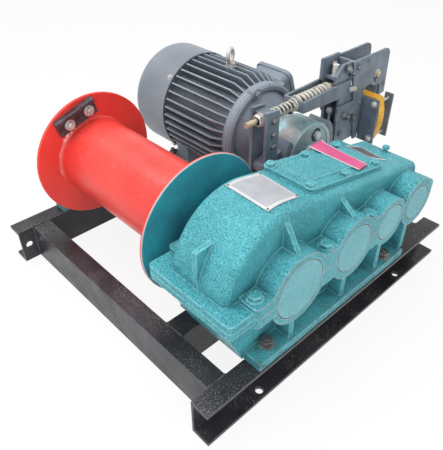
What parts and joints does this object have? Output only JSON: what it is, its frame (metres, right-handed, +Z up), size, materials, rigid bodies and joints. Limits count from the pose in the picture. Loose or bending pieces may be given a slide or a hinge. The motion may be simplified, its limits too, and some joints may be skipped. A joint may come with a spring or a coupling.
{
  "type": "electric mooring winch",
  "caption": "Electric mooring winch: rope drum, cast gearbox, finned motor and electromagnetic shoe brake on a welded channel frame.",
  "frame": {"origin": "on the floor at the middle of the foundation bolt pattern, under the frame's centre", "axes": "+X along the drum axis towards the gearbox, +Y from the drum towards the motor, +Z up"},
  "size_m": [0.932, 1.017, 0.484],
  "materials": {
    "frame_paint": "matt near-black paint with grey dust and weld beads",
    "casting_paint": "turquoise enamel over rough cast iron",
    "cap_paint": "greyish turquoise enamel over machined caps",
    "drum_paint": "bright red gloss enamel",
    "bare_steel": "turned steel, lightly oiled",
    "motor_paint": "blue-grey machine enamel",
    "cowl_paint": "blue-grey enamel on pressed sheet",
    "zinc_steel": "zinc plated with a yellow tint",
    "wheel_iron": "machined cast iron with thin turquoise overspray",
    "brake_paint": "dark blue-grey enamel, chipped at edges",
    "lining": "brown friction lining",
    "spring_paint": "cream coated spring wire",
    "core_steel": "black varnished steel",
    "coil_tape": "yellow varnished insulating tape"
  },
  "bodies": {
    "winch_base": {"left_rail": "frame_paint", "right_rail": "frame_paint", "front_crossmember": "frame_paint", "rear_crossmember": "frame_paint", "gearbox_beam": "frame_paint", "motor_beam": "frame_paint", "drum_pedestal": "casting_paint", "pedestal_cap": "casting_paint", "gearbox_body": "casting_paint", "gearbox_cover": "casting_paint", "bearing_caps": "cap_paint", "inspection_cover": "casting_paint", "gearbox_breather": "casting_paint", "motor_frame": "motor_paint", "motor_fan_cowl": "cowl_paint", "motor_end_shield": "motor_paint", "motor_terminal_box": "motor_paint", "motor_lifting_eye": "zinc_steel", "brake_base": "brake_paint", "brake_pivot_pins": "zinc_steel"},
    "drum": {"drum_barrel": "drum_paint", "drum_left_flange": "drum_paint", "drum_gear_flange": "drum_paint", "drum_shaft": "bare_steel", "rope_clamp": "brake_paint"},
    "brake_wheel_set": {"brake_wheel": "wheel_iron", "motor_coupling": "wheel_iron", "motor_shaft": "bare_steel", "input_shaft": "bare_steel"},
    "front_brake_arm": {"brake_front_arm": "brake_paint", "brake_front_shoe": "brake_paint", "brake_front_lining": "lining", "brake_spring_rod": "zinc_steel", "brake_release_spring": "spring_paint"},
    "rear_brake_arm": {"brake_rear_arm": "brake_paint", "brake_rear_shoe": "brake_paint", "brake_rear_lining": "lining", "brake_main_spring": "spring_paint", "brake_spring_yoke": "brake_paint", "magnet_plates": "brake_paint", "magnet_core": "core_steel", "magnet_coil": "coil_tape", "coil_clamps": "core_steel", "coil_tie_rods": "zinc_steel", "magnet_armature": "core_steel"}
  },
  "joints": [
    {"name": "drum_spin", "type": "hinge", "parent": "winch_base", "child": "drum", "pos_m": [0, -0.182, 0.266], "axis": [1, 0, 0], "continuous": true},
    {"name": "brake_wheel_spin", "type": "hinge", "parent": "winch_base", "child": "brake_wheel_set", "pos_m": [0.042, 0.2438, 0.266], "axis": [1, 0, 0], "continuous": true},
    {"name": "front_arm_swing", "type": "hinge", "parent": "winch_base", "child": "front_brake_arm", "pos_m": [0.042, 0.0968, 0.136], "axis": [1, 0, 0], "range_deg": [0, 0.6]},
    {"name": "rear_arm_swing", "type": "hinge", "parent": "winch_base", "child": "rear_brake_arm", "pos_m": [0.042, 0.3908, 0.136], "axis": [1, 0, 0], "range_deg": [-0.6, 0]}
  ],
  "couplings": [
    {"joint": "brake_wheel_spin", "follows": "drum_spin", "ratio": -40},
    {"joint": "rear_arm_swing", "follows": "front_arm_swing", "ratio": -1}
  ]
}
